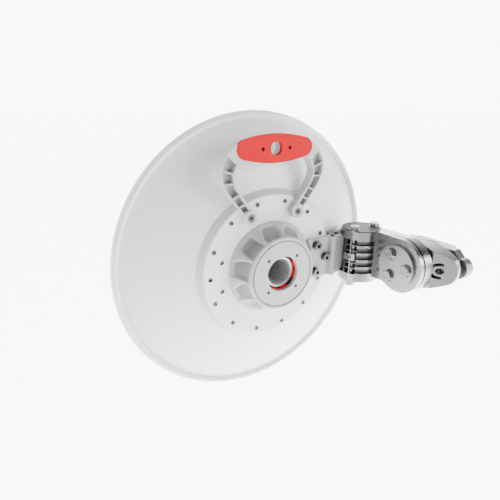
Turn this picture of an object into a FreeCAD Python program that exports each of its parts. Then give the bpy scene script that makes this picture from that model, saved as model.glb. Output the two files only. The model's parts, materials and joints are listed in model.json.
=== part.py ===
import FreeCAD, Part
import math
import os
import re
import Sketcher

# A parabolic dish antenna seen from behind: +Y is the boresight, +Z is up, +X is the side of the pole clamp.
# The origin is the centre of the radio port's mouth, on the hub's rear face.

DIMS = dict(
    # reflector
    rim_r=203, rim_y=82.4, lip_r=194.5, lip_back_y=71, lip_round=2.5, bowl_y=22.7, focal=179.7,
    shell_t=2.2, flat_y=33, flat_in_r=33,
    # back plate and its screws
    plate_y=30, plate_in_r=41, plate_out_r=100, plate_foot_r=107, plate_foot_y=37.6,
    screw_circle_r=91.5, screw_first=22.7, screw_step=26.92, spare_x=74.2, spare_z=19.7, spare_far_x=93,
    # hub
    hub_r=49.8, hub_base_r=64.5, hub_bore_r=40, hub_ring_in_r=46, plate_r=44, plate_back_y=6,
    ring_y=3.4, floor_x=44.6, pocket_end_y=25.5, pocket_top_w=13.2, pocket_end_w=3.6,
    rib_turn=25.6, rib_count=10,
    # radio port
    port_r=24, port_len=5.2, port_hole_circle_r=30.9, port_hole_r=2.4, guide_r=20.8, guide_in_r=17.6,
    guide_y=8.2, lock_in_r=22.2, lock_out_r=29, lock_y=6.4, lock_back_y=13, lock_half=34,
    carrier_in_r=31, carrier_y=18,
    # feed
    tube_r=19.6, tube_end_y=170, feed_flange_r=34, feed_flange_y=38.4, sub_r=41, sub_y=197, cap_y=207,
    # handle
    foot_x=36, foot_z=75.5, foot_r=9.5, foot_y=20.5, frame_y=21.4, frame_front_y=35.4, cell_y=29,
    grip_z=159, grip_half=47, grip_tip_z=11.2, grip_bow=174, grip_end_r=11.9, grip_y=20.5, grip_front_y=26,
    grip_hole_r=8.5, grip_screw_x=19.7, grip_clear=0.15,
    # dish bracket
    flange_y=24.4, flange_x=104, flange_half_z=30, hub_gap_r=66, bracket_half_z=29, box_x=98,
    bolt_x=74, bolt_z=20, bolt_far_x=90.5, web=3, web_depth=24,
    # azimuth joint, on its own vertical axis
    az_x=149, az_y=14, drum_r=24.8, drum_half_z=26, barrel_r=29.3, barrel_half_z=38, cheek_z=26.4,
    wall_in_r=25.2, wall_from=-143, wall_to=60, grid_from=178, grid_to=218, groove_depth=3.5, groove_w=6.8,
    stud_r=21, stud_turn=-18, stud_hole_r=4.3, az_swing=18, pivot_r=8,
    # elevation joint, on its own axis along X
    el_y=-55, disc_x=148.5, disc_t=4, disc_r=29, arm_hub_r=38.5, arm_x=152.8, arm_back_x=176,
    el_bolt_circle_r=18.3, el_bolt_r=4, el_swing=22, spigot_r=9.95, spigot_bore_r=10,
    # pole clamp
    jaw_x=178, jaw_back_x=204, jaw_half_y=60, jaw_half_z=31, jaw_flat_y=35, jaw_edge_x=200, vee_half=24,
    vee_x=190, jaw_bolt_y=43, jaw_bolt_r=4, jaw_hole_r=4.4, rear_x=214, rear_back_x=236, rear_half_y=63,
    rear_half_z=23, rear_tip_z=14, rear_vee_half=22, rear_vee_x=226,
)

doc = FreeCAD.newDocument("DishAntenna")
sheet = doc.addObject("Spreadsheet::Sheet", "dims")
for row, (alias, number) in enumerate(DIMS.items(), 1):
    sheet.set("A%d" % row, alias)
    sheet.set("B%d" % row, str(number))
    sheet.setAlias("B%d" % row, alias)
doc.recompute()

NODES = []
NAMES = re.compile(r"\b(" + "|".join(sorted(DIMS, key=len, reverse=True)) + r")\b")
# The direction of a pad that runs towards the plane's positive row axis, and the sign of its offset.
PLANES = {"XY": ("XY_Plane", 1), "XZ": ("XZ_Plane", -1), "YZ": ("YZ_Plane", 1)}


def formula(text):
    """Turns an expression of dimension names into one that reads the sheet."""
    return NAMES.sub(r"dims.\1", str(text))


def value(text):
    """The number that an expression of dimension names stands for."""
    result = sheet.evalExpression(formula(text))
    return float(getattr(result, "Value", result))


def origin_feature(body, role):
    return [item for item in body.Origin.OriginFeatures if item.Role == role][0]


def new_body(label, place=(), turn_y=None, export=True):
    """A body with its own label, placed by up to three expressions and turned about Y."""
    body = doc.addObject("PartDesign::Body", label)
    body.Label = label
    body.AllowCompound = True
    if turn_y is not None:
        axis = FreeCAD.Vector(0, -1, 0)
        body.Placement = FreeCAD.Placement(FreeCAD.Vector(), FreeCAD.Rotation(axis, value(turn_y)))
        body.setExpression("Placement.Rotation.Angle", formula(turn_y))
    for letter, text in zip("xyz", place):
        body.setExpression("Placement.Base." + letter, formula(text))
    if export:
        NODES.append(body)
    return body


def new_sketch(body, plane, level="0"):
    role, sign = PLANES[plane]
    sketch = body.newObject("Sketcher::SketchObject", body.Label + "_sketch")
    sketch.AttachmentSupport = [(origin_feature(body, role), "")]
    sketch.MapMode = "FlatFace"
    sketch.setExpression("AttachmentOffset.Base.z", formula("%d * (%s)" % (sign, level)))
    return sketch


def bind(sketch, kind, args, text):
    index = sketch.addConstraint(Sketcher.Constraint(kind, *args, value(text)))
    sketch.setExpression("Constraints[%d]" % index, formula(text))


def circle(sketch, across, up, radius):
    centre = FreeCAD.Vector(value(across), value(up), 0)
    index = sketch.addGeometry(Part.Circle(centre, FreeCAD.Vector(0, 0, 1), value(radius)))
    bind(sketch, "Radius", (index,), radius)
    bind(sketch, "DistanceX", (-1, 1, index, 3), across)
    bind(sketch, "DistanceY", (-1, 1, index, 3), up)


def arc_between(start, end, radius, side):
    """The short arc of a radius between two points, its centre on the left (1) or right (-1)."""
    chord = end - start
    half = chord.Length / 2
    rise = radius - math.sqrt(max(radius * radius - half * half, 0))
    normal = FreeCAD.Vector(-chord.y, chord.x, 0).normalize()
    middle = (start + end) * 0.5 - normal * (side * rise)
    return Part.Arc(start, middle, end)


def outline(sketch, points):
    """A closed outline of (across, up) points; (across, up, radius, side) starts an arc to the next one."""
    places = [FreeCAD.Vector(value(point[0]), value(point[1]), 0) for point in points]
    ends = []
    for number, point in enumerate(points):
        start = places[number]
        end = places[(number + 1) % len(places)]
        if len(point) == 2:
            index = sketch.addGeometry(Part.LineSegment(start, end))
        else:
            index = sketch.addGeometry(arc_between(start, end, value(point[2]), point[3]))
            bind(sketch, "Radius", (index,), point[2])
        forward = sketch.getPoint(index, 1).distanceToPoint(start) < 1e-4
        ends.append((index, 1, 2) if forward else (index, 2, 1))
    for number, (index, first, last) in enumerate(ends):
        following = ends[(number + 1) % len(ends)]
        sketch.addConstraint(Sketcher.Constraint("Coincident", index, last, following[0], following[1]))
        bind(sketch, "DistanceX", (-1, 1, index, first), points[number][0])
        bind(sketch, "DistanceY", (-1, 1, index, first), points[number][1])


def polar(radius, angle):
    """The point at a radius and an angle in degrees."""
    return "(%s) * cos(%s)" % (radius, angle), "(%s) * sin(%s)" % (radius, angle)


def sector(sketch, inner, outer, first, last, across="0"):
    """Part of a ring about a point on the sketch's first axis, less than half a turn."""
    def spot(radius, angle):
        x_text, y_text = polar(radius, angle)
        return "%s + %s" % (across, x_text), y_text

    outline(sketch, [spot(inner, first), spot(outer, first) + (outer, 1),
                     spot(outer, last), spot(inner, last) + (inner, -1)])


def hexagon(sketch, across, up, flats):
    corner = "((%s) / sqrt(3))" % flats
    outline(sketch, [("%s + %s * cos(%d)" % (across, corner, turn), "%s + %s * sin(%d)" % (up, corner, turn))
                     for turn in range(0, 360, 60)])


def extrude(body, plane, low, high, draw, cut=False):
    """Pads or cuts what draw puts on a plane, from low to high along the plane's row axis."""
    sketch = new_sketch(body, plane, low)
    draw(sketch)
    feature = body.newObject("PartDesign::Pocket" if cut else "PartDesign::Pad", body.Label + "_step")
    feature.Profile = sketch
    feature.Reversed = (PLANES[plane][1] < 0) != cut
    feature.setExpression("Length", formula("(%s) - (%s)" % (high, low)))
    finish(body, feature, cut)
    return feature


def turned(body, draw, axis="Y_Axis", cut=False):
    """Revolves what draw puts on a plane that holds the axis: XY for Y, XZ for Z."""
    sketch = new_sketch(body, "XY" if axis == "Y_Axis" else "XZ")
    draw(sketch)
    feature = body.newObject("PartDesign::Groove" if cut else "PartDesign::Revolution", body.Label + "_step")
    feature.Profile = sketch
    feature.ReferenceAxis = (origin_feature(body, axis), [""])
    feature.Angle = 360
    finish(body, feature, cut)
    return feature


def repeated(body, feature, axis, count, span="360"):
    """Repeats a feature about one of the body's axes."""
    pattern = body.newObject("PartDesign::PolarPattern", body.Label + "_pattern")
    pattern.Originals = [feature]
    pattern.Axis = (origin_feature(body, axis), [""])
    pattern.setExpression("Angle", formula(span))
    pattern.setExpression("Occurrences", formula(count))
    body.Tip = pattern
    doc.recompute()
    return pattern


def finish(body, feature, cut):
    """Recomputes and stops if the feature failed or a cut took nothing away."""
    before = feature.BaseFeature.Shape.Volume if feature.BaseFeature else 0
    body.Tip = feature
    doc.recompute()
    if "Invalid" in feature.State or "Error" in feature.State or feature.Shape.isNull():
        raise RuntimeError("%s failed in %s" % (feature.Name, body.Label))
    change = feature.Shape.Volume - before
    if (cut and change > -1e-3) or (not cut and change < 1e-3):
        raise RuntimeError("%s changes nothing in %s" % (feature.Name, body.Label))


def circles(places, radius):
    def draw(sketch):
        for across, up in places:
            circle(sketch, across, up, radius)
    return draw


def hexagons(places, flats):
    def draw(sketch):
        for across, up in places:
            hexagon(sketch, across, up, flats)
    return draw


def ring(radius_in, radius_out, places=(("0", "0"),)):
    def draw(sketch):
        for across, up in places:
            circle(sketch, across, up, radius_out)
            circle(sketch, across, up, radius_in)
    return draw


def both_sides(across, up):
    return [(across, up), ("-(%s)" % across, up)]


# ---- dish ----
def shell_y(radius):
    return "(bowl_y + (%s)^2 / (4 * focal))" % radius


def shell_bend(radius):
    """The parabola's own radius of bend half way between the flat centre and the lip."""
    return "(2 * focal * (1 + ((%s) / (2 * focal))^2)^1.5)" % radius


def make_reflector():
    """A spun bowl with a flat centre and a rolled lip, drilled for the plate's screws."""
    flat_r = "86"
    bend = shell_bend("140")
    body = new_body("reflector")
    turned(body, lambda sketch: outline(sketch, [
        ("flat_in_r", "flat_y"), (flat_r, "flat_y", bend, 1),
        ("lip_r", shell_y("lip_r")), ("lip_r + 1.5", "lip_back_y"),
        ("rim_r - lip_round", "lip_back_y", "lip_round", 1), ("rim_r", "lip_back_y + lip_round"),
        ("rim_r", "rim_y - 3", "3", 1), ("rim_r - 3", "rim_y"),
        ("lip_r + 3", shell_y("lip_r + 3") + " + shell_t", bend, -1),
        (flat_r, "flat_y + shell_t"), ("flat_in_r", "flat_y + shell_t")]))
    extrude(body, "XZ", "flat_y - 5", "flat_y + 12", circles(ring_screw_places(), "1.6"), cut=True)
    extrude(body, "XZ", "flat_y - 5", "flat_y + 12", circles(bracket_bolt_places(), "3.3"), cut=True)
    extrude(body, "XZ", "flat_y - 5", "flat_y + 12", circles(both_sides("foot_x", "foot_z"), "3.3"), cut=True)


def ring_screw_places():
    places = []
    for side in (1, -1):
        for step in range(6):
            places.append(polar("screw_circle_r", "%d * (screw_first + %d * screw_step)" % (side, step)))
    return places


def bracket_bolt_places():
    return [("bolt_x", "bolt_z"), ("bolt_x", "-bolt_z"), ("bolt_far_x", "0")]


def spare_places():
    return [("-spare_x", "spare_z"), ("-spare_x", "-spare_z"), ("-spare_far_x", "0")]


def make_back_plate():
    """The raised flat ring that carries the hub, the handle and the bracket."""
    body = new_body("back_plate")
    turned(body, lambda sketch: outline(sketch, [
        ("plate_in_r", "plate_y"), ("plate_out_r", "plate_y"), ("plate_foot_r", "plate_foot_y"),
        ("plate_foot_r - 2.5", "plate_foot_y"), ("plate_out_r - 2", "flat_y"), ("plate_in_r", "flat_y")]))
    for places, radius in ((ring_screw_places(), "1.6"), (spare_places(), "3.2"),
                           (bracket_bolt_places(), "3.3"), (both_sides("foot_x", "foot_z"), "3.3")):
        extrude(body, "XZ", "plate_y - 1", "flat_y + 1", circles(places, radius), cut=True)


def screws(label, places, head_r, head_y, seat_y, shank_r, end_y, flats, place=(), plane="XZ"):
    """Socket-head screws pointing along the plane's axis: heads, shanks and hexagon sockets."""
    body = new_body(label, place)
    extrude(body, plane, head_y, seat_y, circles(places, head_r))
    extrude(body, plane, seat_y, end_y, circles(places, shank_r))
    depth = "(%s) + ((%s) - (%s)) * 0.6" % (head_y, seat_y, head_y)
    extrude(body, plane, head_y, depth, hexagons(places, flats), cut=True)


def make_screws():
    screws("ring_screws", ring_screw_places(), "2.9", "plate_y - 1.8", "plate_y", "1.5", "flat_y + 4", "2.4")
    screws("handle_bolts", both_sides("foot_x", "foot_z"), "4.8", "foot_y + 1.2", "foot_y + 5.2", "3",
           "flat_y + 7", "4.6")
    screws("grip_screws", both_sides("grip_screw_x", "grip_z"), "2.3", "grip_y + 2.2", "grip_y + 3.8", "1.4",
           "grip_front_y + 6", "2.2")
    screws("bracket_bolts", bracket_bolt_places(), "5.8", "flange_y - 6.5", "flange_y - 1.2", "3",
           "flat_y + 7", "5.2")
    body = new_body("bracket_washers")
    extrude(body, "XZ", "flange_y - 1.2", "flange_y", ring("3.2", "7", bracket_bolt_places()))


# ---- hub and port ----
def make_hub():
    """The bell-shaped housing: a flat rim, ten pockets between ribs and a flared foot."""
    body = new_body("hub_housing", turn_y="rib_turn")
    turned(body, lambda sketch: outline(sketch, [
        ("hub_ring_in_r", "0.8"), ("hub_ring_in_r + 0.8", "0"), ("hub_r - 0.8", "0"), ("hub_r", "0.8"),
        ("hub_r + 0.3", "ring_y + 4", "40", -1), ("hub_base_r", "plate_y - 2.2"), ("hub_base_r", "plate_y"),
        ("hub_bore_r", "plate_y"), ("hub_bore_r", "plate_back_y"), ("plate_r + 0.1", "plate_back_y"),
        ("plate_r + 0.1", "1.8"), ("hub_ring_in_r", "1.8")]))
    pocket = extrude(body, "YZ", "floor_x", "hub_base_r + 5", lambda sketch: outline(sketch, [
        ("ring_y", "-pocket_top_w"), ("ring_y + 9", "-pocket_top_w + 0.8"),
        ("pocket_end_y", "-pocket_end_w"), ("pocket_end_y", "pocket_end_w"),
        ("ring_y + 9", "pocket_top_w - 0.8"), ("ring_y", "pocket_top_w")]), cut=True)
    repeated(body, pocket, "Y_Axis", "rib_count")


def port_hole_places():
    return [polar("port_hole_circle_r", str(turn)) for turn in (45, 135, 225, 315)]


def make_port_plate():
    body = new_body("port_plate")
    turned(body, lambda sketch: outline(sketch, [
        ("port_r + 0", "0"), ("plate_r", "0"), ("plate_r", "plate_back_y"),
        ("lock_out_r + 3", "plate_back_y"), ("lock_out_r + 3", "port_len"), ("port_r", "port_len")]))
    extrude(body, "XZ", "-1", "plate_back_y + 1", circles(port_hole_places(), "port_hole_r"), cut=True)


def make_carrier():
    """The ring behind the plate that holds the locks and the wave guide."""
    body = new_body("lock_carrier")
    turned(body, lambda sketch: outline(sketch, [
        ("carrier_in_r", "plate_back_y"), ("hub_bore_r", "plate_back_y"), ("hub_bore_r", "carrier_y"),
        ("guide_r", "carrier_y"), ("guide_r", "lock_back_y + 0.4"), ("carrier_in_r", "lock_back_y + 0.4")]))


def make_locks():
    """Four sprung catches with a ramp each side of a centre notch."""
    for label, turn in (("lock_right", 0), ("lock_top", 90), ("lock_left", 180), ("lock_bottom", 270)):
        body = new_body(label)
        first, last = "%d - lock_half" % turn, "%d + lock_half" % turn
        extrude(body, "XZ", "lock_y", "lock_back_y",
                lambda sketch: sector(sketch, "lock_in_r + 1.6", "lock_out_r", first, last))
        for low, high in (("%d - 26" % turn, "%d - 7" % turn), ("%d + 7" % turn, "%d + 26" % turn)):
            extrude(body, "XZ", "lock_y + 2", "lock_back_y",
                    lambda sketch: sector(sketch, "lock_in_r", "lock_in_r + 1.6", low, high))


def make_feed():
    """Wave guide, feed tube, dielectric cone and sub-reflector along the boresight."""
    body = new_body("wave_guide")
    turned(body, lambda sketch: outline(sketch, [
        ("guide_in_r", "guide_y + 1"), ("guide_in_r + 1", "guide_y"), ("guide_r", "guide_y"),
        ("guide_r", "flat_y + shell_t"), ("guide_in_r", "flat_y + shell_t")]))
    body = new_body("feed_tube")
    turned(body, lambda sketch: outline(sketch, [
        ("guide_in_r", "flat_y + shell_t"), ("feed_flange_r + 6", "flat_y + shell_t"),
        ("feed_flange_r + 6", "feed_flange_y"), ("tube_r + 3", "feed_flange_y"),
        ("tube_r", "feed_flange_y + 5"), ("tube_r", "tube_end_y"), ("guide_in_r", "tube_end_y")]))
    extrude(body, "XZ", "flat_y", "feed_flange_y + 1", circles(feed_screw_places(), "1.6"), cut=True)
    body = new_body("feed_screws")
    extrude(body, "XZ", "feed_flange_y", "feed_flange_y + 2", circles(feed_screw_places(), "2.8"))
    extrude(body, "XZ", "flat_y + shell_t", "feed_flange_y", circles(feed_screw_places(), "1.5"))
    body = new_body("feed_cone")
    turned(body, lambda sketch: outline(sketch, [
        ("0", "tube_end_y - 22"), ("5", "tube_end_y - 20"), ("guide_in_r", "tube_end_y"),
        ("guide_in_r + 1", "tube_end_y + 3"), ("sub_r - 3", "sub_y - 4"), ("sub_r - 3", "sub_y - 0.1"),
        ("0", "sub_y - 0.1")]))
    body = new_body("feed_seal")
    turned(body, lambda sketch: circle(sketch, "tube_r - 0.4", "tube_end_y + 0.75", "0.7"))
    body = new_body("sub_reflector")
    turned(body, lambda sketch: outline(sketch, [
        ("0", "sub_y"), ("sub_r", "sub_y"), ("sub_r", "sub_y + 3"), ("0", "sub_y + 3")]))
    body = new_body("feed_cap")
    turned(body, lambda sketch: outline(sketch, [
        ("0", "cap_y - 2"), ("sub_r + 0.2", "cap_y - 4.5"), ("sub_r + 0.2", "sub_y - 3"),
        ("sub_r + 2.2", "sub_y - 3"), ("sub_r + 2.2", "cap_y - 3.5", "3", 1), ("sub_r - 1", "cap_y - 1.2"),
        ("0", "cap_y")]))


def feed_screw_places():
    return [polar("feed_flange_r - 1", str(turn)) for turn in range(30, 390, 60)]


# ---- handle ----
def grip_points(gap):
    half, tip = "(grip_half + %s)" % gap, "(grip_tip_z + %s)" % gap
    bow, end = "(grip_bow + %s)" % gap, "(grip_end_r + %s)" % gap
    return [(half, "grip_z - " + tip, end, 1), (half, "grip_z + " + tip, bow, 1),
            ("-" + half, "grip_z + " + tip, end, 1), ("-" + half, "grip_z - " + tip, bow, 1)]


def mirrored_points(side, points):
    return [("%d * (%s)" % (side, point[0]), point[1]) for point in points]


def make_handle():
    """The bow: two arms that widen upwards, a top bar, ribbed channels and two round feet."""
    body = new_body("handle_frame")
    extrude(body, "XZ", "frame_y", "frame_front_y", lambda sketch: outline(sketch, [
        ("43", "foot_z - 4"), ("46", "80"), ("68", "109", "45", 1), ("76", "137", "42", 1),
        ("44", "168.5"), ("-44", "168.5", "42", 1), ("-76", "137", "45", 1), ("-68", "109"),
        ("-46", "80"), ("-43", "foot_z - 4"), ("-30", "foot_z"), ("-29.5", "81"),
        ("-51", "106.5", "38", -1), ("-59", "129", "26", -1), ("-48", "146"),
        ("48", "146", "26", -1), ("59", "129", "38", -1), ("51", "106.5"), ("29.5", "81"),
        ("30", "foot_z")]))
    extrude(body, "XZ", "plate_y", "frame_front_y + 1", circles([("0", "0")], "plate_foot_r + 0.6"), cut=True)
    extrude(body, "XZ", "foot_y", "plate_y", circles(both_sides("foot_x", "foot_z"), "foot_r"))
    extrude(body, "XZ", "foot_y - 1", "foot_y + 5.2", circles(both_sides("foot_x", "foot_z"), "5.2"), cut=True)
    extrude(body, "XZ", "foot_y", "plate_y + 1", circles(both_sides("foot_x", "foot_z"), "3.2"), cut=True)
    cells = ([(38.5, 85.6), (45.6, 82.4), (51.6, 89.6), (43.6, 92.6)],
             [(45, 94.4), (52.9, 91.2), (60.6, 101), (51.8, 105)],
             [(52.8, 106.6), (61.8, 102.6), (67.6, 110.4), (72.2, 119), (59.8, 119.6), (57, 113)],
             [(60.2, 121.2), (72.9, 120.6), (74.2, 129), (74.3, 136), (61, 131.2)],
             [(60.6, 133), (74, 137.8), (71.6, 146), (66.5, 152.5), (56, 143)])
    for cell in cells:
        for side in (1, -1):
            extrude(body, "XZ", "frame_y - 1", "cell_y",
                    lambda sketch: outline(sketch, mirrored_points(side, cell)), cut=True)
    extrude(body, "XZ", "frame_y - 1", "grip_front_y",
            lambda sketch: outline(sketch, grip_points("grip_clear")), cut=True)
    extrude(body, "XZ", "frame_y - 1", "frame_front_y + 1", circles([("0", "grip_z")], "grip_hole_r"),
            cut=True)
    extrude(body, "XZ", "frame_y - 1", "plate_y + 3",
            circles(both_sides("grip_screw_x", "grip_z"), "1.5"), cut=True)
    body = new_body("handle_grip")
    extrude(body, "XZ", "grip_y", "grip_front_y", lambda sketch: outline(sketch, grip_points("0")))
    extrude(body, "XZ", "grip_y - 1", "grip_front_y + 1", circles([("0", "grip_z")], "grip_hole_r"), cut=True)
    extrude(body, "XZ", "grip_y - 1", "grip_y + 3.8",
            circles(both_sides("grip_screw_x", "grip_z"), "2.5"), cut=True)
    extrude(body, "XZ", "grip_y + 3", "grip_front_y + 1",
            circles(both_sides("grip_screw_x", "grip_z"), "1.5"), cut=True)


# ---- dish bracket and azimuth drum ----
def make_dish_bracket():
    """A flange on the back plate, a bend and a ribbed box that reaches the azimuth drum."""
    body = new_body("dish_bracket")
    extrude(body, "XZ", "flange_y", "plate_y", lambda sketch: outline(sketch, [
        ("flange_x", "-flange_half_z"), ("flange_x", "flange_half_z"), ("bolt_x - 14", "flange_half_z"),
        ("bolt_x - 14", "-flange_half_z")]))
    extrude(body, "XZ", "flange_y - 1", "plate_y + 1", circles([("0", "0")], "hub_gap_r"), cut=True)
    extrude(body, "XY", "-bracket_half_z", "bracket_half_z", lambda sketch: outline(sketch, [
        ("box_x", "plate_y"), ("box_x", "20"), ("box_x + 3", "16"), ("box_x + 14", "23"),
        ("az_x - 23.4", "az_y + 10.4", "drum_r + 0.8", -1), ("az_x - 5.5", "az_y + 25"),
        ("az_x - 5.5", "az_y + 34"), ("118", "40.5"), ("108", "37.5"), ("103.5", "plate_y + 3"),
        ("100", "plate_y")]))
    for low, high in (("bracket_half_z - web_depth", "bracket_half_z + 1"),
                      ("-bracket_half_z - 1", "web_depth - bracket_half_z")):
        extrude(body, "XY", low, high, lambda sketch: outline(sketch, [
            ("box_x + web", "plate_y - 3"), ("box_x + web", "20.5"), ("box_x + 12", "26"),
            ("box_x + 12", "35")]), cut=True)
        extrude(body, "XY", low, high, lambda sketch: outline(sketch, [
            ("box_x + 15", "36.5"), ("box_x + 15", "27.5"), ("125.5", "30"), ("125.5", "39.8")]), cut=True)
        extrude(body, "XY", low, high, lambda sketch: outline(sketch, [
            ("128.5", "40.8"), ("128.5", "35.5"), ("140", "42"), ("140", "44.8")]), cut=True)
    for low, high in (("drum_half_z", "bracket_half_z + 1"), ("-bracket_half_z - 1", "-drum_half_z")):
        extrude(body, "XY", low, high, circles([("az_x", "az_y")], "barrel_r + 0.6"), cut=True)
    extrude(body, "XZ", "flange_y - 1", "plate_y + 1", circles(bracket_bolt_places(), "3.3"), cut=True)


def stud_places():
    return [polar("stud_r", "stud_turn"), polar("stud_r", "180 - stud_turn")]


def make_drum():
    """The azimuth drum, notched for the two studs and grooved all round."""
    body = new_body("azimuth_drum", ("az_x", "az_y"))
    extrude(body, "XY", "-drum_half_z", "drum_half_z", circles([("0", "0")], "drum_r"))
    for middle in ("stud_turn", "180 - stud_turn"):
        reach = "(az_swing + 13)"
        extrude(body, "XY", "-drum_half_z - 1", "drum_half_z + 1", lambda sketch: sector(
            sketch, "stud_r - stud_hole_r", "drum_r + 2", "%s - %s" % (middle, reach),
            "%s + %s" % (middle, reach)), cut=True)
    extrude(body, "XY", "-drum_half_z - 1", "drum_half_z + 1", circles([("0", "0")], "pivot_r + 0.05"), cut=True)
    body = new_body("drum_neck", ("az_x", "az_y"))
    extrude(body, "XY", "-drum_half_z", "drum_half_z", lambda sketch: outline(sketch, [
        polar("drum_r", "102") + ("drum_r", 1), polar("drum_r", "156"),
        polar("drum_r + 0.8", "156") + ("drum_r + 0.8", -1), polar("drum_r + 0.8", "102")]))


# ---- arm ----
def make_arm():
    """Two cheeks and a finned wall round the drum, running back to the elevation hub."""
    body = new_body("arm_casting", ("az_x", "az_y"))
    hub = "(el_y - az_y)"
    extrude(body, "YZ", "arm_x - az_x", "arm_back_x - az_x", lambda sketch: outline(sketch, [
        ("6", "0.4 - barrel_half_z"), ("6", "barrel_half_z - 0.4"),
        (hub + " + 4", "sqrt(arm_hub_r^2 - 16)", "arm_hub_r", 1), (hub + " - arm_hub_r", "0", "arm_hub_r", 1),
        (hub + " + 4", "-sqrt(arm_hub_r^2 - 16)"), (hub + " + 26", "-31", "60", 1), ("-26", "-32")]))
    for low, high in (("cheek_z", "barrel_half_z"), ("-barrel_half_z", "-cheek_z")):
        extrude(body, "XY", low, high, circles([("0", "0")], "barrel_r"))
    extrude(body, "XY", "-cheek_z", "cheek_z", circles([("0", "0")], "wall_in_r"), cut=True)
    for first, last in (("wall_from", "-40"), ("-40", "wall_to")):
        extrude(body, "XY", "-cheek_z", "cheek_z",
                lambda sketch: sector(sketch, "wall_in_r", "barrel_r", first, last))
    for level in ("-21.4", "-10.7", "0", "10.7", "21.4"):
        for first, last in (("wall_from - 1", "-92"), ("-18", "wall_to + 1")):
            extrude(body, "XY", level + " - groove_w / 2", level + " + groove_w / 2", lambda sketch: sector(
                sketch, "barrel_r - groove_depth", "barrel_r + 2", first, last), cut=True)
    for first, last in (("grid_from", "grid_from + 5"), ("197", "200")):
        extrude(body, "XY", "-cheek_z", "cheek_z",
                lambda sketch: sector(sketch, "wall_in_r + 0.4", "barrel_r - 0.4", first, last))
    for level in ("-17.5", "-9.2", "9.2", "17.5"):
        extrude(body, "XY", level + " - 0.9", level + " + 0.9", lambda sketch: sector(
            sketch, "wall_in_r + 0.8", "barrel_r - 0.8", "grid_from + 2", "grid_to"))
    for first, last in ((62, 180), (180, 298)):
        extrude(body, "YZ", "10.5", "13.5", lambda sketch: sector(
            sketch, "arm_hub_r - 2", "arm_hub_r + 4", str(first), str(last), hub), cut=True)
    for middle in (60, 180, 300):
        extrude(body, "YZ", "arm_x - az_x - 1", "arm_back_x - az_x + 1", lambda sketch: sector(
            sketch, "el_bolt_circle_r - el_bolt_r - 0.4", "el_bolt_circle_r + el_bolt_r + 0.4",
            "%d - el_swing - 14" % middle, "%d + el_swing + 14" % middle, hub), cut=True)
    extrude(body, "YZ", "arm_x - az_x - 1", "arm_back_x - az_x + 1",
            circles([(hub, "0")], "spigot_bore_r"), cut=True)
    extrude(body, "XY", "-barrel_half_z - 1", "barrel_half_z + 1", circles(stud_places(), "stud_hole_r"),
            cut=True)
    extrude(body, "XY", "-barrel_half_z - 1", "barrel_half_z + 1", circles([("0", "0")], "pivot_r"), cut=True)


def make_barrel_tab():
    """A small curved tab with a hole, for a safety wire, lying on the barrel's grid."""
    body = new_body("barrel_tab", ("az_x", "az_y"))
    extrude(body, "XY", "-5", "5",
            lambda sketch: sector(sketch, "barrel_r - 0.4", "barrel_r + 1", "grid_from + 1", "grid_to - 5"))
    extrude(body, "YZ", "-barrel_r - 3", "-20", circles([("-10.2", "0")], "2.2"), cut=True)


def hex_bolts(label, places, plane, head, seat, end, shank_r, place=()):
    """Hexagon bolts: 13 mm across flats on an 8 mm shank, the head from head to seat."""
    body = new_body(label, place)
    extrude(body, plane, *sorted((head, seat), key=value), hexagons(places, "13"))
    extrude(body, plane, *sorted((seat, end), key=value), circles(places, shank_r))


def make_azimuth_hardware():
    place = ("az_x", "az_y")
    hex_bolts("azimuth_bolts", stud_places(), "XY", "barrel_half_z + 6.9", "barrel_half_z + 1.6",
              "-barrel_half_z - 9", "4", place)
    body = new_body("azimuth_washers", place)
    for low, high in (("barrel_half_z", "barrel_half_z + 1.6"), ("-barrel_half_z - 1.6", "-barrel_half_z")):
        extrude(body, "XY", low, high, ring("4.2", "8", stud_places()))
    body = new_body("azimuth_nuts", place)
    extrude(body, "XY", "-barrel_half_z - 8", "-barrel_half_z - 1.6", hexagons(stud_places(), "13"))
    extrude(body, "XY", "-barrel_half_z - 9", "-barrel_half_z", circles(stud_places(), "4"), cut=True)
    body = new_body("azimuth_pivot", place)
    extrude(body, "XY", "-barrel_half_z", "barrel_half_z", circles([("0", "0")], "pivot_r"))
    body = new_body("barrel_cover", place)
    extrude(body, "XY", "barrel_half_z", "barrel_half_z + 1", circles([("0", "0")], "barrel_r - 1.6"))
    extrude(body, "XY", "barrel_half_z - 1", "barrel_half_z + 2", circles(stud_places(), "8.3"), cut=True)


# ---- pole clamp ----
def elevation_bolt_places():
    return [polar("el_bolt_circle_r", str(turn)) for turn in (60, 180, 300)]


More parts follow.
